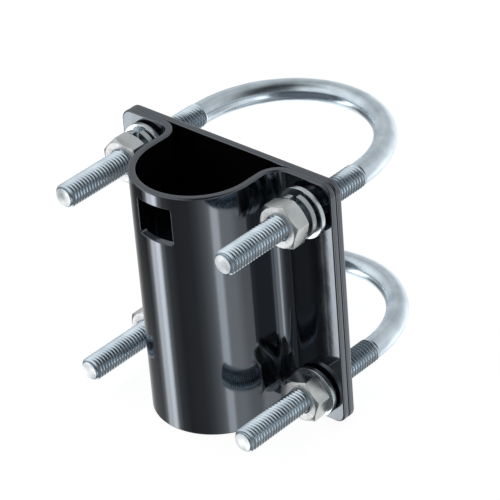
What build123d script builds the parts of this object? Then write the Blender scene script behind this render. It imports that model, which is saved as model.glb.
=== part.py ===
"""Two-way pole clamp bracket: a flat back plate, a hat-section pole socket and two M10 U-bolts.

Frame: millimetres, +Z up, +Y towards the post that the U-bolts go round, +X across the plate.
The origin is the centre of the back plate's rear face.
"""
from build123d import *
import math
import os

# Pressed sheet
sheet = 3.0
plate_width = 105.0
plate_height = 106.0
corner_radius = 5.0
socket_inner_radius = 22.75
socket_inner_depth = 40.0
flange_bend_radius = 6.5

# Window in the front of the socket
window_width = 16.4
window_height = 15.4
window_top_margin = 5.4
window_corner_radius = 1.0

# U-bolts, M10 with a rolled thread
thread_diameter = 9.9
shank_diameter = 9.2
bolt_spacing_x = 80.0
bolt_spacing_z = 81.4
clearance_hole_diameter = 12.0
leg_length = 76.0
bend_depth = 43.0
leg_end_chamfer = 1.3

# Standard M10 hardware
nut_across_flats = 17.0
nut_height = 7.8
nut_face_radius = 8.1
nut_chamfer_angle = 30.0
nut_bore_clearance = 0.05
bore_countersink = 0.6
flat_washer_diameter = 21.0
flat_washer_bore = 10.5
flat_washer_thickness = 2.0
spring_washer_diameter = 18.1
spring_washer_bore = 10.2
spring_washer_thickness = 2.2
spring_washer_free_height = 4.4
spring_washer_gap_angle = 8.0
washer_hang_clearance = 0.02

# Worked-out places along Y
interface_y = -sheet
flange_front_y = interface_y - sheet
socket_centre_y = interface_y - (socket_inner_depth - socket_inner_radius)
socket_outer_radius = socket_inner_radius + sheet
thread_radius = thread_diameter / 2
nut_bore_radius = thread_radius + nut_bore_clearance

# Where each U-bolt's bend starts behind the back plate
bend_start = {"upper": 23.0, "lower": 26.6}
bolt_height = {"upper": bolt_spacing_z / 2, "lower": -bolt_spacing_z / 2}
side_sign = {"left": -1, "right": 1}

# The U-bolts sit loose in their holes, the upper one towards the right and the lower one towards the left
bolt_shift = {"upper": 0.9, "lower": -0.5}

# Each leg's stack in front of the flange: the gap behind the flat washer, the gap behind the nut, and how far
# the nut is turned. The lower nuts bear on their flat washers; the upper ones have spring washers.
stacks = {
    ("upper", "left"): {"washer_gap": 1.2, "nut_gap": 8.0, "nut_turn": 48.0},
    ("upper", "right"): {"washer_gap": 2.4, "nut_gap": 9.5, "nut_turn": 12.0},
    ("lower", "left"): {"washer_gap": 0.6, "nut_gap": 2.6, "nut_turn": 30.0},
    ("lower", "right"): {"washer_gap": 1.2, "nut_gap": 3.2, "nut_turn": 12.0},
}

# A plane that looks along +Y: its local X is the part's X, and its local Y is the part's Z
front_view = Plane(origin=(0, 0, 0), x_dir=(1, 0, 0), z_dir=(0, -1, 0))

os.makedirs("parts", exist_ok=True)


def save(part, node):
    """Label a finished piece and write its STEP file."""
    part.label = node
    export_step(part, f"parts/{node}.step")


def leg_x(side, level):
    """How far across the part a leg of a U-bolt is."""
    return bolt_shift[level] + side_sign[side] * bolt_spacing_x / 2


def across_leg(side, level, y):
    """The plane square to one leg of a U-bolt, centred on it at the distance y along the part."""
    return Plane(origin=(leg_x(side, level), y, bolt_height[level]), x_dir=(1, 0, 0), z_dir=(0, -1, 0))


# Back plate: a flat rounded plate with four clearance holes
with BuildPart() as back_plate:
    with BuildSketch(front_view):
        RectangleRounded(plate_width, plate_height, corner_radius)
        with GridLocations(bolt_spacing_x, bolt_spacing_z, 2, 2):
            Circle(clearance_hole_diameter / 2, mode=Mode.SUBTRACT)
    extrude(amount=sheet)
save(back_plate.part, "back_plate")


# Pole socket: one bent sheet, flange to flange, drawn as its top edge and extruded down
def socket_outline(wall_radius, bend_radius, flange_y):
    """One face of the bent sheet, from the left flange round the socket to the right flange."""
    bend_x = wall_radius + bend_radius
    bend_y = flange_y - bend_radius
    left_flange = Line((-plate_width / 2, flange_y), (-bend_x, flange_y))
    left_bend = CenterArc((-bend_x, bend_y), bend_radius, 90, -90)
    left_wall = Line(left_bend @ 1, (-wall_radius, socket_centre_y))
    crown = CenterArc((0, socket_centre_y), wall_radius, 180, 180)
    right_wall = Line(crown @ 1, (wall_radius, bend_y))
    right_bend = CenterArc((bend_x, bend_y), bend_radius, 180, -90)
    right_flange = Line(right_bend @ 1, (plate_width / 2, flange_y))
    return left_flange, right_flange


with BuildPart() as socket_channel:
    with BuildSketch(Plane.XY.offset(-plate_height / 2)):
        with BuildLine():
            outer = socket_outline(socket_outer_radius, flange_bend_radius, flange_front_y)
            inner = socket_outline(socket_inner_radius, flange_bend_radius + sheet, interface_y)
            Line(outer[0] @ 0, inner[0] @ 0)
            Line(outer[1] @ 1, inner[1] @ 1)
        make_face()
    extrude(amount=plate_height)
    # The flanges' outer corners are rounded like the back plate's
    edges_across_sheet = socket_channel.edges().filter_by(Axis.Y).sort_by(Axis.X)
    fillet(edges_across_sheet[:2] + edges_across_sheet[-2:], corner_radius)
    with BuildSketch(front_view):
        with GridLocations(bolt_spacing_x, bolt_spacing_z, 2, 2):
            Circle(clearance_hole_diameter / 2)
    extrude(amount=-2 * flange_front_y, both=True, mode=Mode.SUBTRACT)
    window_centre_z = plate_height / 2 - window_top_margin - window_height / 2
    with BuildSketch(front_view.offset(-socket_centre_y)):
        with Locations((0, window_centre_z)):
            RectangleRounded(window_width, window_height, window_corner_radius)
    extrude(amount=2 * socket_outer_radius, mode=Mode.SUBTRACT)
save(socket_channel.part, "socket_channel")


# U-bolts: two threaded legs joined by a half-elliptical bend in the plain shank
for level in ("upper", "lower"):
    start_y = bend_start[level]
    with BuildPart() as u_bolt:
        bend_centre = (bolt_shift[level], start_y)
        with BuildLine(Plane.XY.offset(bolt_height[level])) as bend:
            EllipticalCenterArc(bend_centre, bolt_spacing_x / 2, bend_depth, start_angle=0, arc_size=180)
        with BuildSketch(across_leg("right", level, start_y)):
            Circle(shank_diameter / 2)
        sweep(path=bend.line)
        for side in side_sign:
            with BuildSketch(across_leg(side, level, start_y)):
                Circle(thread_radius)
            extrude(amount=leg_length)
        leg_ends = u_bolt.faces().sort_by(Axis.Y)[0:2]
        chamfer(leg_ends.edges(), leg_end_chamfer)
    save(u_bolt.part, f"{level}_u_bolt")


# Flat washers hang on the top of the thread
flat_washer_hang = (flat_washer_bore - thread_diameter) / 2 - washer_hang_clearance
for (level, side), stack in stacks.items():
    washer_back_y = flange_front_y - stack["washer_gap"]
    with BuildPart() as flat_washer:
        with BuildSketch(across_leg(side, level, washer_back_y)):
            with Locations((0, -flat_washer_hang)):
                Circle(flat_washer_diameter / 2)
                Circle(flat_washer_bore / 2, mode=Mode.SUBTRACT)
        extrude(amount=flat_washer_thickness)
    save(flat_washer.part, f"{level}_{side}_flat_washer")


# Spring washers: one left-handed turn of flat wire, split at the top, against the upper nuts
spring_washer_hang = (spring_washer_bore - thread_diameter) / 2 - washer_hang_clearance
spring_wire_width = (spring_washer_diameter - spring_washer_bore) / 2
spring_mean_radius = spring_washer_bore / 2 + spring_wire_width / 2
spring_turn = (360 - spring_washer_gap_angle) / 360
spring_rise = spring_washer_free_height - spring_washer_thickness

for side in side_sign:
    x = leg_x(side, "upper")
    z = bolt_height["upper"] - spring_washer_hang
    # The wire starts at the top, against the nut, and winds back towards the flange
    first_y = flange_front_y - stacks["upper", side]["nut_gap"] + spring_washer_thickness / 2
    coil_centre = Vector(x, first_y, z)
    with BuildPart() as spring_washer:
        with BuildLine() as coil:
            Helix(
                pitch=spring_rise / spring_turn,
                height=spring_rise,
                radius=spring_mean_radius,
                center=coil_centre,
                direction=(0, 1, 0),
                lefthand=True,
            )
        start = coil.line @ 0
        outward = (start - coil_centre).normalized()
        square_to_wire = Plane(origin=start, x_dir=outward, z_dir=coil.line % 0)
        with BuildSketch(square_to_wire):
            Rectangle(spring_wire_width, spring_washer_thickness)
        sweep(path=coil.line, is_frenet=True)
    save(spring_washer.part, f"upper_{side}_spring_washer")


# Hexagon nuts: both faces chamfered, the bore countersunk at both ends
nut_corner_radius = nut_across_flats / math.sqrt(3)
corner_drop = (nut_corner_radius - nut_face_radius) * math.tan(math.radians(nut_chamfer_angle))

for (level, side), stack in stacks.items():
    nut_back_y = flange_front_y - stack["nut_gap"]
    nut_plane = across_leg(side, level, nut_back_y)
    with BuildPart() as hex_nut:
        with BuildSketch(nut_plane):
            RegularPolygon(nut_corner_radius, 6, rotation=stack["nut_turn"])
        extrude(amount=nut_height)
        profile_plane = Plane(origin=nut_plane.origin, x_dir=(1, 0, 0), z_dir=(0, 0, 1))
        with BuildSketch(profile_plane):
            half_section = [
                (nut_bore_radius + bore_countersink, 0),
                (nut_face_radius, 0),
                (nut_corner_radius, -corner_drop),
                (nut_corner_radius, corner_drop - nut_height),
                (nut_face_radius, -nut_height),
                (nut_bore_radius + bore_countersink, -nut_height),
                (nut_bore_radius, bore_countersink - nut_height),
                (nut_bore_radius, -bore_countersink),
            ]
            Polygon(*half_section, align=None)
        revolve(axis=Axis(nut_plane.origin, (0, 1, 0)), mode=Mode.INTERSECT)
    save(hex_nut.part, f"{level}_{side}_hex_nut")
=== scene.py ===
"""Looks for the two-way pole clamp bracket: painted sheet, threaded U-bolts, nuts and washers."""
import bmesh
import bpy
import math
from mathutils import Matrix, Vector


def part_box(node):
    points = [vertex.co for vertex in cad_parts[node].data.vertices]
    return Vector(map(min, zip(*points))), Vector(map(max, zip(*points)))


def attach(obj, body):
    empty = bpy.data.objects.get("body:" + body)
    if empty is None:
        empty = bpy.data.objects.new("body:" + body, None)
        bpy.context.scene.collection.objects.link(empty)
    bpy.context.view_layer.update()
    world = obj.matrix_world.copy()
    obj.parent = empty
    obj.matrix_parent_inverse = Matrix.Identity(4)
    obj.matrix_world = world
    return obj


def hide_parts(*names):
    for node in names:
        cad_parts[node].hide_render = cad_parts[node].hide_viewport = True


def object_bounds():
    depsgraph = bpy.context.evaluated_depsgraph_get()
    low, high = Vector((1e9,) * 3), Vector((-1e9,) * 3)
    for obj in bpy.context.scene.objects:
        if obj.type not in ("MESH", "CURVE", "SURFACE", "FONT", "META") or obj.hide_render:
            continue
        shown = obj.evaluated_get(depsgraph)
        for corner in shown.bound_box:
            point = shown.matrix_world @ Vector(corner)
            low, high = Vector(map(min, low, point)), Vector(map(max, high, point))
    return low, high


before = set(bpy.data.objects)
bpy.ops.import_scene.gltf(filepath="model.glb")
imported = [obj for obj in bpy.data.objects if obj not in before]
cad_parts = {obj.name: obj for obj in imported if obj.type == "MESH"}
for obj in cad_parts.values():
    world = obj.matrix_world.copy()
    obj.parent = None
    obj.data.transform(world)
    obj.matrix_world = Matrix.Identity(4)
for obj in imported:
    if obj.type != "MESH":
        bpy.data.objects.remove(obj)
cad_low, cad_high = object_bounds()

MM = 0.001
SIDES = {"left": -1, "right": 1}
LEVELS = ("upper", "lower")

# The camera: where it looks from, in degrees of azimuth and elevation round a target on the plate, with a
# slight roll; its distance in metres, and its lens and sensor in millimetres
VIEW_AZIMUTH = 44.22
VIEW_ELEVATION = 32.50
VIEW_ROLL = -4.90
VIEW_DISTANCE = 1.0787
VIEW_LENS = 202.55
VIEW_SHIFT = (0.0238, 0.0253)
VIEW_TARGET = Vector((0, -3 * MM, 0))
SENSOR_WIDTH = 36
NEAREST_SEEN = 0.05
FARTHEST_SEEN = 50

# The floor's half size, and how far it is below the part
FLOOR_REACH = 4.0
FLOOR_DROP = 0.2 * MM

# M10 U-bolt, as its CAD node has it, with the thread that the CAD node leaves plain
LEG_LENGTH = 76 * MM
THREAD_RADIUS = 4.95 * MM
THREAD_PITCH = 1.5 * MM
THREAD_DEPTH = 0.9 * MM
THREAD_RUNOUT = 2.4 * MM
SHANK_RADIUS = 4.6 * MM
LEG_FACE_RADIUS = 3.7 * MM
# The thread's root begins at this share of its depth; its faces get a darker colour, painted shade in the
# thread roots
SHADED_ROOT_SHARE = 0.8
# Steps round the rod, and along a bend
SPAN_AROUND = 40
BEND_STEPS = 96
# Where faces of the U-bolt meet at more than this many degrees, the edge is drawn sharp
CREASE_ANGLE = 38

# M10 nut, as its CAD node has it, with its edges eased
NUT_ACROSS_FLATS = 17 * MM
NUT_FACE_RADIUS = 8.1 * MM
NUT_BORE_RADIUS = 5 * MM
NUT_COUNTERSINK = 0.6 * MM
NUT_CHAMFER_SLOPE = math.tan(math.radians(30))
NUT_EDGE = 0.14 * MM
# A nut's flat faces look this nearly along its axis, and its larger faces lead its shading by this much
NUT_FACE_STEEPNESS = 0.95
NUT_SHADING_WEIGHT = 90
# Degrees from the middle of a flat to its columns of vertices; the end ones leave a small eased corner
FLAT_COLUMNS = (-29.1, -28, -24, -16, -8, 0, 8, 16, 24, 28, 29.1)

# Vertices nearer to each other than this are one vertex; the thread's are that only when nearer still
SAME_PLACE = 0.002 * MM
SAME_THREAD_PLACE = 0.0005 * MM
# Faces of a CAD node that meet at less than this many degrees are one face
SAME_FACE_ANGLE = 0.4

# Edges sharper than this many degrees are rounded, in this many steps
SHARP_EDGE_ANGLE = 28
ROUNDING_STEPS = 3
# Edges within this half width and further forward than this bound the window; they are rounded less
WINDOW_HALF_WIDTH = 9 * MM
WINDOW_FRONT = -38 * MM
WINDOW_EDGE_SHARE = 0.4
PAINTED_EDGE = 0.8 * MM
FLAT_WASHER_EDGE = 0.3 * MM
SPRING_WASHER_EDGE = 0.2 * MM

# The flanges are flat up to this distance from the middle, then spring forward by this much at their edges
FLANGE_FLAT_UNTIL = 47 * MM
FLANGE_SPRING = 0.12 * MM

# One pitch of thread: how far along the pitch each corner is, and how deep it is as a share of the depth
THREAD_CORNERS = (
    (0.0, 0.0), (0.06, 0.0), (0.14, 0.12), (0.42, 0.88), (0.5, 1.0), (0.62, 1.0), (0.7, 0.88), (0.94, 0.12),
)


# ---------------------------------------------------------------- materials

def new_material(name):
    """A material with an empty tree but for its output and its shader."""
    material = bpy.data.materials.new(name)
    material.use_nodes = True
    tree = material.node_tree
    shader = tree.nodes["Principled BSDF"]
    return material, tree, shader


def add_node(tree, kind, **inputs):
    """A node with values set on its inputs by name."""
    node = tree.nodes.new(kind)
    for name, value in inputs.items():
        node.inputs[name].default_value = value
    return node


def noise(tree, scale, detail=3.0):
    """A noise texture in the piece's own coordinates."""
    place = tree.nodes.new("ShaderNodeTexCoord")
    texture = add_node(tree, "ShaderNodeTexNoise", Scale=scale, Detail=detail)
    tree.links.new(place.outputs["Object"], texture.inputs["Vector"])
    return texture.outputs["Fac"]


def ramp(tree, source, stops):
    """A colour ramp over a value; stops are (position, colour)."""
    node = tree.nodes.new("ShaderNodeValToRGB")
    elements = node.color_ramp.elements
    while len(elements) < len(stops):
        elements.new(0.5)
    for element, (position, colour) in zip(elements, stops):
        element.position = position
        element.color = (*colour, 1)
    tree.links.new(source, node.inputs["Fac"])
    return node.outputs["Color"]


def spread(tree, source, low, high):
    """Maps the middle of a noise's range to the range low to high."""
    limits = {"From Min": 0.3, "From Max": 0.7, "To Min": low, "To Max": high}
    node = add_node(tree, "ShaderNodeMapRange", **limits)
    tree.links.new(source, node.inputs["Value"])
    return node.outputs["Result"]


def bump(tree, shader, source, strength, distance):
    """Raises the surface by a texture."""
    node = add_node(tree, "ShaderNodeBump", Strength=strength, Distance=distance)
    tree.links.new(source, node.inputs["Height"])
    tree.links.new(node.outputs["Normal"], shader.inputs["Normal"])


def gloss_black_paint():
    """Black stoving paint: deep gloss with a faint orange peel and slightly duller patches."""
    material, tree, shader = new_material("gloss_black_paint")
    shader.inputs["IOR"].default_value = 2.32
    shader.inputs["Specular Tint"].default_value = (0.8, 0.89, 1.0, 1)
    black, soot = (0.002, 0.002, 0.003), (0.004, 0.004, 0.005)
    colour = ramp(tree, noise(tree, scale=60), [(0.35, black), (0.7, soot)])
    tree.links.new(colour, shader.inputs["Base Color"])
    roughness = spread(tree, noise(tree, scale=90, detail=4), 0.06, 0.1)
    tree.links.new(roughness, shader.inputs["Roughness"])
    bump(tree, shader, noise(tree, scale=420, detail=2), strength=0.1, distance=0.05 * MM)
    return material


def zinc(name, dark, light, roughness, grain, grain_depth):
    """Zinc plating: bright metal with cloudy patches between two colours and a fine grain."""
    material, tree, shader = new_material(name)
    shader.inputs["Metallic"].default_value = 1.0
    colour = ramp(tree, noise(tree, scale=130, detail=5), [(0.32, dark), (0.68, light)])
    tree.links.new(colour, shader.inputs["Base Color"])
    rough = spread(tree, noise(tree, scale=240, detail=4), *roughness)
    tree.links.new(rough, shader.inputs["Roughness"])
    bump(tree, shader, noise(tree, scale=grain), strength=0.35, distance=grain_depth)
    return material


def rod_plating():
    """The U-bolts' bright zinc, with its bluish cast."""
    dark, light = (0.57, 0.67, 0.75), (0.78, 0.89, 0.97)
    return zinc("blue_zinc_rod", dark, light, roughness=(0.14, 0.25), grain=1800, grain_depth=0.02 * MM)


def sheared_end():
    """The U-bolts' leg ends, mottled and duller from the shear."""
    dark, light = (0.34, 0.37, 0.39), (0.92, 0.95, 0.97)
    return zinc("sheared_rod_end", dark, light, roughness=(0.38, 0.52), grain=700, grain_depth=0.15 * MM)


def thread_root_painted_shade():
    """The bottoms of the threads: a darker colour painted in as the shade of the thread roots, with a
    duller finish.
    """
    dark, light = (0.20, 0.27, 0.33), (0.38, 0.48, 0.56)
    return zinc("thread_root_painted_shade", dark, light, roughness=(0.25, 0.4), grain=1800, grain_depth=0.02 * MM)


def nut_plating():
    """The nuts' zinc, greyer than the rods'."""
    dark, light = (0.52, 0.56, 0.56), (0.76, 0.79, 0.79)
    return zinc("zinc_nut", dark, light, roughness=(0.2, 0.32), grain=2600, grain_depth=0.03 * MM)


def turned_face():
    """The nuts' flat faces, duller from turning."""
    dark, light = (0.60, 0.61, 0.62), (0.84, 0.84, 0.85)
    return zinc("turned_nut_face", dark, light, roughness=(0.4, 0.52), grain=2600, grain_depth=0.03 * MM)


def washer_plating():
    """The flat washers' zinc."""
    dark, light = (0.58, 0.65, 0.68), (0.76, 0.82, 0.85)
    return zinc("zinc_washer", dark, light, roughness=(0.18, 0.3), grain=2200, grain_depth=0.02 * MM)


def spring_steel():
    """The spring washers' darker steel."""
    dark, light = (0.40, 0.43, 0.45), (0.56, 0.60, 0.62)
    return zinc("spring_steel", dark, light, roughness=(0.24, 0.36), grain=2200, grain_depth=0.02 * MM)


def floor_material():
    """A lit white floor that keeps only a trace of the part's shadow."""
    material, tree, shader = new_material("white_floor")
    dark, light = (0.17, 0.17, 0.17), (0.19, 0.19, 0.19)
    colour = ramp(tree, noise(tree, scale=3), [(0.3, dark), (0.7, light)])
    tree.links.new(colour, shader.inputs["Base Color"])
    shader.inputs["Roughness"].default_value = 0.9
    shader.inputs["Emission Color"].default_value = (1, 1, 1, 1)
    shader.inputs["Emission Strength"].default_value = 0.93
    return material


# ---------------------------------------------------------------- pieces

def to_object(name, mesh, material, body, node):
    """Links a finished mesh as a piece that rides on its body and stands for its CAD node."""
    piece = bpy.data.objects.new(name, mesh)
    bpy.context.scene.collection.objects.link(piece)
    mesh.materials.clear()
    mesh.materials.append(material)
    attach(piece, body)
    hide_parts(node)
    return piece


def after_modifier(mesh, kind, **settings):
    """The mesh as one modifier leaves it."""
    carrier = bpy.data.objects.new("carrier", mesh)
    bpy.context.scene.collection.objects.link(carrier)
    modifier = carrier.modifiers.new(kind, kind)
    for name, value in settings.items():
        setattr(modifier, name, value)
    evaluated = carrier.evaluated_get(bpy.context.evaluated_depsgraph_get())
    finished = bpy.data.meshes.new_from_object(evaluated)
    bpy.data.objects.remove(carrier)
    return finished


def spring_forward(work):
    """Pressed flanges stand off the back plate a little towards their outer edges."""
    for side in SIDES.values():
        bmesh.ops.bisect_plane(
            work,
            geom=work.verts[:] + work.edges[:] + work.faces[:],
            plane_co=(side * FLANGE_FLAT_UNTIL, 0, 0),
            plane_no=(1, 0, 0),
        )
    for vertex in work.verts:
        beyond = (abs(vertex.co.x) - FLANGE_FLAT_UNTIL) / (cad_high.x - FLANGE_FLAT_UNTIL)
        if beyond > 0:
            vertex.co.y -= FLANGE_SPRING * beyond


def mark_edges(work):
    """Gives every sharp edge its share of the rounding: all of it outside, less round the small window."""
    weights = work.edges.layers.float.new("bevel_weight_edge")
    for edge in work.edges:
        middle = (edge.verts[0].co + edge.verts[1].co) / 2
        sharp = len(edge.link_faces) == 2 and edge.calc_face_angle() > math.radians(SHARP_EDGE_ANGLE)
        in_front = abs(middle.x) < WINDOW_HALF_WIDTH and middle.y < WINDOW_FRONT
        if sharp and in_front and 0 < middle.z < cad_high.z - MM:
            edge[weights] = WINDOW_EDGE_SHARE
        elif sharp:
            edge[weights] = 1.0


def rounded_copy(node, edge_radius, reshape=None):
    """The CAD node's shape with its sharp edges rounded, as pressed, painted or plated metal has them."""
    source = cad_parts[node].data
    mesh = bpy.data.meshes.new(node + "_rounded")
    work = bmesh.new()
    work.from_mesh(source)
    bmesh.ops.remove_doubles(work, verts=work.verts, dist=SAME_PLACE)
    same_face = math.radians(SAME_FACE_ANGLE)
    bmesh.ops.dissolve_limit(work, angle_limit=same_face, verts=work.verts, edges=work.edges)
    if reshape:
        reshape(work)
    for face in work.faces:
        face.smooth = True
    mark_edges(work)
    work.to_mesh(mesh)
    work.free()
    for layer in list(mesh.attributes):
        if layer.name == "custom_normal":
            mesh.attributes.remove(layer)
    return after_modifier(
        mesh,
        "BEVEL",
        width=edge_radius,
        segments=ROUNDING_STEPS,
        limit_method="WEIGHT",
        use_clamp_overlap=False,
        harden_normals=True,
    )


def nut_half_profile(side_radius, half_height):
    """A nut's rings from its bore to its flat, as radius and distance from mid-height, with eased edges."""
    def chamfer_height(radius):
        return half_height - (radius - NUT_FACE_RADIUS) * NUT_CHAMFER_SLOPE

    inner = NUT_FACE_RADIUS + NUT_EDGE
    outer = side_radius - NUT_EDGE
    return [
        (NUT_BORE_RADIUS, half_height - NUT_COUNTERSINK),
        (NUT_BORE_RADIUS + NUT_COUNTERSINK, half_height),
        (NUT_FACE_RADIUS - NUT_EDGE, half_height),
        (inner, chamfer_height(inner)),
        (outer, chamfer_height(outer)),
        (side_radius, chamfer_height(side_radius) - NUT_EDGE),
    ]


def nut_mesh(node):
    """A hexagon nut turned as its CAD node is, with both faces chamfered and its bore countersunk."""
    low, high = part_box(node)
    centre = (low + high) / 2
    spokes = [vertex.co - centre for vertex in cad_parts[node].data.vertices]
    corner = max(spokes, key=lambda spoke: math.hypot(spoke.x, spoke.z))
    corner_angle = math.atan2(corner.z, corner.x)
    work = bmesh.new()
    columns = []
    for flat in range(6):
        for degrees in FLAT_COLUMNS:
            from_middle = math.radians(degrees)
            angle = corner_angle + math.radians(30 + 60 * flat) + from_middle
            half = nut_half_profile(NUT_ACROSS_FLATS / 2 / math.cos(from_middle), (high.y - low.y) / 2)
            rings = [(radius, -height) for radius, height in half] + list(reversed(half))
            outward = Vector((math.cos(angle), 0, math.sin(angle)))
            places = [centre + outward * radius + Vector((0, y, 0)) for radius, y in rings]
            columns.append([work.verts.new(place) for place in places])
    for column, following in zip(columns, columns[1:] + columns[:1]):
        for ring in range(len(column)):
            after = (ring + 1) % len(column)
            work.faces.new((column[ring], column[after], following[after], following[ring]))
    bmesh.ops.recalc_face_normals(work, faces=work.faces)
    for face in work.faces:
        face.smooth = True
    mesh = bpy.data.meshes.new(node + "_turned")
    work.to_mesh(mesh)
    work.free()
    return after_modifier(mesh, "WEIGHTED_NORMAL", weight=NUT_SHADING_WEIGHT)


def thread_radius_at(y, depth_share, end_y, start_y):
    """The radius of a thread corner: chamfered at the leg's end, and run out into the shank at its root."""
    radius = THREAD_RADIUS - THREAD_DEPTH * depth_share
    radius = min(radius, LEG_FACE_RADIUS + (y - end_y))
    fade = max(0.0, (y - (start_y - THREAD_RUNOUT)) / THREAD_RUNOUT)
    fade = fade * fade * (3 - 2 * fade)
    return radius + (SHANK_RADIUS - radius) * fade


def add_leg(work, side, centre, end_y, start_y):
    """One threaded leg, its rows following the right-handed helix, closed by a flat face at its end."""
    # The rows start short of the leg and end past it, and what is beyond either end is squeezed flat there
    turns = int((start_y - end_y) / THREAD_PITCH) + 3
    first_y = end_y - 1.5 * THREAD_PITCH
    corners = len(THREAD_CORNERS)
    rows = []
    for row in range(turns * corners):
        share, depth = THREAD_CORNERS[row % corners]
        row_y = first_y + (row // corners + share) * THREAD_PITCH
        ring = []
        for step in range(SPAN_AROUND + 1):
            turn = step / SPAN_AROUND
            y = row_y + (-side * turn + (side > 0)) * THREAD_PITCH
            y = min(max(y, end_y), start_y)
            radius = thread_radius_at(y, depth, end_y, start_y)
            angle = 2 * math.pi * turn
            x = centre.x + side * radius * math.cos(angle)
            ring.append(work.verts.new((x, y, centre.z + radius * math.sin(angle))))
        rows.append(ring)
    for low, high in zip(rows, rows[1:]):
        for step in range(SPAN_AROUND):
            work.faces.new((low[step], low[step + 1], high[step + 1], high[step]))
    bmesh.ops.remove_doubles(work, verts=work.verts, dist=SAME_THREAD_PLACE)
    cap = [v for v in work.verts if abs(v.co.y - end_y) < SAME_THREAD_PLACE]
    cap.sort(key=lambda v: math.atan2(v.co.z - centre.z, v.co.x - centre.x))
    work.faces.new(cap)


def add_bend(work, middle_x, half_span, height, start_y, depth):
    """The plain bend: a round bar swept along half an ellipse from the right leg to the left."""
    rings = []
    for step in range(BEND_STEPS + 1):
        angle = math.pi * step / BEND_STEPS
        middle = Vector((middle_x + half_span * math.cos(angle), start_y + depth * math.sin(angle), height))
        outward = Vector((depth * math.cos(angle), half_span * math.sin(angle), 0)).normalized()
        ring = []
        for around in range(SPAN_AROUND):
            turn = 2 * math.pi * around / SPAN_AROUND
            offset = outward * math.cos(turn) + Vector((0, 0, 1)) * math.sin(turn)
            ring.append(work.verts.new(middle + offset * SHANK_RADIUS))
        rings.append(ring)
    for ring, following in zip(rings, rings[1:]):
        for around in range(SPAN_AROUND):
            after = (around + 1) % SPAN_AROUND
            work.faces.new((ring[around], ring[after], following[after], following[around]))


def u_bolt_mesh(node):
    """A U-bolt with its two threaded legs and its plain bend, in the CAD node's own place."""
    low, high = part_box(node)
    middle_x = (low.x + high.x) / 2
    height = (low.z + high.z) / 2
    half_span = (high.x - low.x) / 2 - THREAD_RADIUS
    end_y = low.y
    start_y = end_y + LEG_LENGTH
    work = bmesh.new()
    for side in SIDES.values():
        leg = bmesh.new()
        add_leg(leg, side, Vector((middle_x + side * half_span, 0, height)), end_y, start_y)
        part = bpy.data.meshes.new("leg")
        leg.to_mesh(part)
        leg.free()
        work.from_mesh(part)
        bpy.data.meshes.remove(part)
    add_bend(work, middle_x, half_span, height, start_y, high.y - SHANK_RADIUS - start_y)
    bmesh.ops.remove_doubles(work, verts=work.verts, dist=SAME_PLACE)
    bmesh.ops.dissolve_degenerate(work, dist=SAME_THREAD_PLACE, edges=work.edges)
    bmesh.ops.recalc_face_normals(work, faces=work.faces)
    for face in work.faces:
        face.smooth = True
    for edge in work.edges:
        if len(edge.link_faces) == 2 and edge.calc_face_angle(0) > math.radians(CREASE_ANGLE):
            edge.smooth = False
    mesh = bpy.data.meshes.new(node + "_threaded")
    work.to_mesh(mesh)
    work.free()
    return mesh


def mark_rod_faces(mesh, node):
    """Gives a U-bolt's sheared leg ends the second material, and the roots of its threads the third, which
    paints shade into the thread roots.
    """
    low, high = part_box(node)
    middle = (low + high) / 2
    half_span = (high.x - low.x) / 2 - THREAD_RADIUS
    start_y = low.y + LEG_LENGTH
    for face in mesh.polygons:
        from_middle = face.center - middle
        radius = math.hypot(abs(from_middle.x) - half_span, from_middle.z)
        if len(face.vertices) > 4:
            face.material_index = 1
        # Faces deep in the thread roots get the darker material: painted shade
        elif face.center.y < start_y and radius < THREAD_RADIUS - SHADED_ROOT_SHARE * THREAD_DEPTH:
            face.material_index = 2


def mark_nut_faces(mesh):
    """Gives a nut's flat faces, duller from turning, the second material."""
    for face in mesh.polygons:
        face.material_index = int(abs(face.normal.y) > NUT_FACE_STEEPNESS)


def make_sheets():
    """The painted back plate and socket channel."""
    paint = gloss_black_paint()
    plate = rounded_copy("back_plate", PAINTED_EDGE)
    to_object("back_plate_painted", plate, paint, "bracket", "back_plate")
    channel = rounded_copy("socket_channel", PAINTED_EDGE, reshape=spring_forward)
    to_object("socket_channel_painted", channel, paint, "bracket", "socket_channel")


def make_u_bolt(level, plating, end, root):
    """One U-bolt, with its plating, its sheared ends and painted shade in the roots of its threads."""
    node = f"{level}_u_bolt"
    bolt = to_object(node + "_threaded", u_bolt_mesh(node), plating, node, node)
    bolt.data.materials.append(end)
    bolt.data.materials.append(root)
    mark_rod_faces(bolt.data, node)


def make_flat_washer(level, side, body, plating):
    """The flat washer on one leg."""
    node = f"{level}_{side}_flat_washer"
    mesh = rounded_copy(node, FLAT_WASHER_EDGE)
    to_object(node + "_plated", mesh, plating, body, node)


def make_spring_washer(level, side, body, steel):
    """The spring washer on one leg."""
    node = f"{level}_{side}_spring_washer"
    mesh = rounded_copy(node, SPRING_WASHER_EDGE)
    to_object(node + "_plated", mesh, steel, body, node)


def make_nut(level, side, plating, turned):
    """The hexagon nut on one leg, with its plating and its turned faces."""
    node = f"{level}_{side}_hex_nut"
    nut = to_object(node + "_plated", nut_mesh(node), plating, f"{level}_{side}_nut", node)
    nut.data.materials.append(turned)
    mark_nut_faces(nut.data)


def make_hardware():
    """The U-bolts and what each of their legs carries: two washers on the upper legs, one on the lower."""
    # The third rod material is painted shade for the thread roots
    rod_materials = (rod_plating(), sheared_end(), thread_root_painted_shade())
    nut_materials = (nut_plating(), turned_face())
    plating = washer_plating()
    steel = spring_steel()
    for level in LEVELS:
        make_u_bolt(level, *rod_materials)
        for side in SIDES:
            if level == "upper":
                body = f"{level}_{side}_washers"
                make_flat_washer(level, side, body, plating)
                make_spring_washer(level, side, body, steel)
            else:
                make_flat_washer(level, side, f"{level}_{side}_washer", plating)
            make_nut(level, side, *nut_materials)


# ---------------------------------------------------------------- studio

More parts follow.
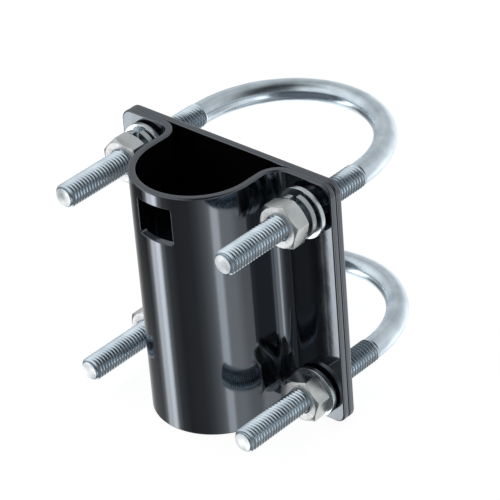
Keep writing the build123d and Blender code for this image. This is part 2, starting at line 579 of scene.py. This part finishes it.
def make_camera():
    """The photograph's viewpoint, with its long lens and slight roll."""
    azimuth, elevation = math.radians(VIEW_AZIMUTH), math.radians(VIEW_ELEVATION)
    back = Vector((
        math.sin(azimuth) * math.cos(elevation),
        -math.cos(azimuth) * math.cos(elevation),
        math.sin(elevation),
    ))
    right = Vector((math.cos(azimuth), math.sin(azimuth), 0))
    up = back.cross(right)
    roll = math.radians(VIEW_ROLL)
    rolled_right = right * math.cos(roll) + up * math.sin(roll)
    rolled_up = up * math.cos(roll) - right * math.sin(roll)
    data = bpy.data.cameras.new("camera")
    data.lens = VIEW_LENS
    data.sensor_width = SENSOR_WIDTH
    data.shift_x, data.shift_y = VIEW_SHIFT
    data.clip_start = NEAREST_SEEN
    data.clip_end = FARTHEST_SEEN
    camera = bpy.data.objects.new("camera", data)
    place = VIEW_TARGET + back * VIEW_DISTANCE
    turn = Matrix((rolled_right, rolled_up, back)).transposed().to_4x4()
    camera.matrix_world = Matrix.Translation(place) @ turn
    bpy.context.scene.collection.objects.link(camera)
    bpy.context.scene.camera = camera


def make_floor():
    """A wide pale floor under the bracket. Reflections look past it to the studio."""
    mesh = bpy.data.meshes.new("floor")
    z = cad_low.z - FLOOR_DROP
    corners = [(x * FLOOR_REACH, y * FLOOR_REACH, z) for x, y in ((-1, -1), (1, -1), (1, 1), (-1, 1))]
    mesh.from_pydata(corners, [], [(0, 1, 2, 3)])
    mesh.materials.append(floor_material())
    floor = bpy.data.objects.new("floor", mesh)
    bpy.context.scene.collection.objects.link(floor)
    floor.visible_glossy = False


# The studio's brightness round the object, in rings from below to overhead. A ring is its elevation and its
# stops; a stop is its direction, in degrees from the camera's own, and the brightness there.
TABLE_BELOW = (-75, (
    (-170, 1.3), (-110, 1.0), (-90, 0.65), (-50, 0.15), (10, 0.2), (50, 0.3), (90, 0.45), (150, 0.55),
    (175, 1.0),
))
TABLE_AROUND = (-50, (
    (-170, 1.3), (-110, 0.95), (-90, 0.7), (-72, 0.2), (-50, 0.1), (-10, 0.25), (10, 0.4), (30, 0.7),
    (50, 0.9), (110, 1.0), (150, 0.9), (175, 1.2),
))
# A bright strip on the left and a narrower one on the right, with dark gaps beside them
LOW_STRIPS = (-31, (
    (-180, 0.8), (-160, 0.5), (-138, 0.1), (-112, 0.05), (-103, 0.6), (-97, 2.8), (-90, 2.8), (-86, 4.0),
    (-81, 4.0), (-76, 0.8), (-67, 0.22), (-50, 0.1), (-22, 0.12), (-9, 0.24), (4, 0.5), (12, 0.85),
    (17, 2.2), (25, 2.3), (30, 0.95), (47, 0.86), (62, 0.5), (80, 0.4), (92, 0.9), (110, 1.5),
    (130, 1.35), (160, 1.0),
))
HORIZON = (0, (
    (-170, 0.6), (-130, 0.55), (-90, 0.8), (-70, 0.3), (-50, 0.12), (-10, 0.2), (10, 0.45), (30, 0.85),
    (50, 0.6), (70, 0.5), (90, 0.75), (130, 0.9), (160, 1.0),
))
# A wide panel on the left, a dark gap round the camera and a dimmer panel on the right
SIDE_PANELS = (22, (
    (-178, 0.62), (-160, 0.55), (-130, 0.75), (-110, 1.0), (-90, 0.95), (-50, 0.8), (-30, 1.0),
    (-10, 0.26), (10, 0.13), (30, 0.1), (50, 0.28), (70, 0.53), (90, 0.76), (130, 0.6), (160, 0.55),
    (178, 0.62),
))
SIDE_PANEL_TOPS = (40, (
    (-178, 0.58), (-160, 0.52), (-130, 0.8), (-110, 0.95), (-90, 0.95), (-70, 0.8), (-50, 1.0),
    (-30, 0.75), (-12, 0.12), (30, 0.03), (50, 0.24), (70, 0.53), (110, 0.6), (160, 0.52), (178, 0.58),
))
HIGH_PANELS = (67, (
    (-170, 0.38), (-110, 0.75), (-90, 0.7), (-50, 0.2), (-30, 0.05), (30, 0.03), (50, 0.1), (70, 0.35),
    (130, 0.58), (170, 0.45),
))
OVERHEAD = (88, ((-170, 0.2), (170, 0.2)))
RINGS = (
    TABLE_BELOW,
    TABLE_AROUND,
    LOW_STRIPS,
    HORIZON,
    SIDE_PANELS,
    SIDE_PANEL_TOPS,
    HIGH_PANELS,
    OVERHEAD,
)
# What a ring's brightness is stored as a share of, and how bright the backdrop is that the camera sees
BRIGHTEST = 4.0
BACKDROP = 1.1


def calculate(tree, operation, first, second=0.0):
    """A maths node over values or other nodes' outputs."""
    node = tree.nodes.new("ShaderNodeMath")
    node.operation = operation
    for socket, value in zip(node.inputs, (first, second)):
        if isinstance(value, float):
            socket.default_value = value
        else:
            tree.links.new(value, socket)
    return node.outputs["Value"]


def ring_colours(tree, share, levels):
    """One ring of the studio's brightness over the share of a full turn, closed where it meets itself."""
    stops = [((degrees + 180) / 360, (level / BRIGHTEST,) * 3) for degrees, level in levels]
    return ramp(tree, share, stops)


def make_world():
    """A soft studio of pale panels and dark gaps: the rings of brightness, blended from below to above."""
    world = bpy.data.worlds.new("studio")
    bpy.context.scene.world = world
    world.use_nodes = True
    tree = world.node_tree
    background = tree.nodes["Background"]
    direction = tree.nodes.new("ShaderNodeTexCoord").outputs["Generated"]
    parts = tree.nodes.new("ShaderNodeSeparateXYZ")
    tree.links.new(direction, parts.inputs["Vector"])
    heading = calculate(tree, "ARCTAN2", parts.outputs["Y"], parts.outputs["X"])
    turned = calculate(tree, "SUBTRACT", heading, math.radians(VIEW_AZIMUTH - 90))
    turns = calculate(tree, "DIVIDE", turned, 2 * math.pi)
    # Half a turn puts the camera's own direction in the middle, and a whole one keeps the share positive
    share = calculate(tree, "FRACT", calculate(tree, "ADD", turns, 0.5 + 1.0))
    elevation = calculate(tree, "ARCSINE", parts.outputs["Z"])
    colours = ring_colours(tree, share, RINGS[0][1])
    for (lower_edge, _), (upper_edge, levels) in zip(RINGS, RINGS[1:]):
        span = {"From Min": math.radians(lower_edge), "From Max": math.radians(upper_edge)}
        rise = add_node(tree, "ShaderNodeMapRange", **span)
        tree.links.new(elevation, rise.inputs["Value"])
        blend = tree.nodes.new("ShaderNodeMixRGB")
        tree.links.new(rise.outputs["Result"], blend.inputs["Fac"])
        tree.links.new(colours, blend.inputs["Color1"])
        tree.links.new(ring_colours(tree, share, levels), blend.inputs["Color2"])
        colours = blend.outputs["Color"]
    tree.links.new(colours, background.inputs["Color"])
    background.inputs["Strength"].default_value = BRIGHTEST

    # The camera itself sees a plain white backdrop beyond the floor
    backdrop = add_node(tree, "ShaderNodeBackground", Color=(1, 1, 1, 1), Strength=BACKDROP)
    choose = tree.nodes.new("ShaderNodeMixShader")
    path = tree.nodes.new("ShaderNodeLightPath")
    output = tree.nodes["World Output"]
    tree.links.new(path.outputs["Is Camera Ray"], choose.inputs["Fac"])
    tree.links.new(background.outputs["Background"], choose.inputs[1])
    tree.links.new(backdrop.outputs["Background"], choose.inputs[2])
    tree.links.new(choose.outputs["Shader"], output.inputs["Surface"])


make_camera()
make_world()
make_floor()
make_sheets()
make_hardware()
bpy.context.scene.view_settings.view_transform = "Standard"
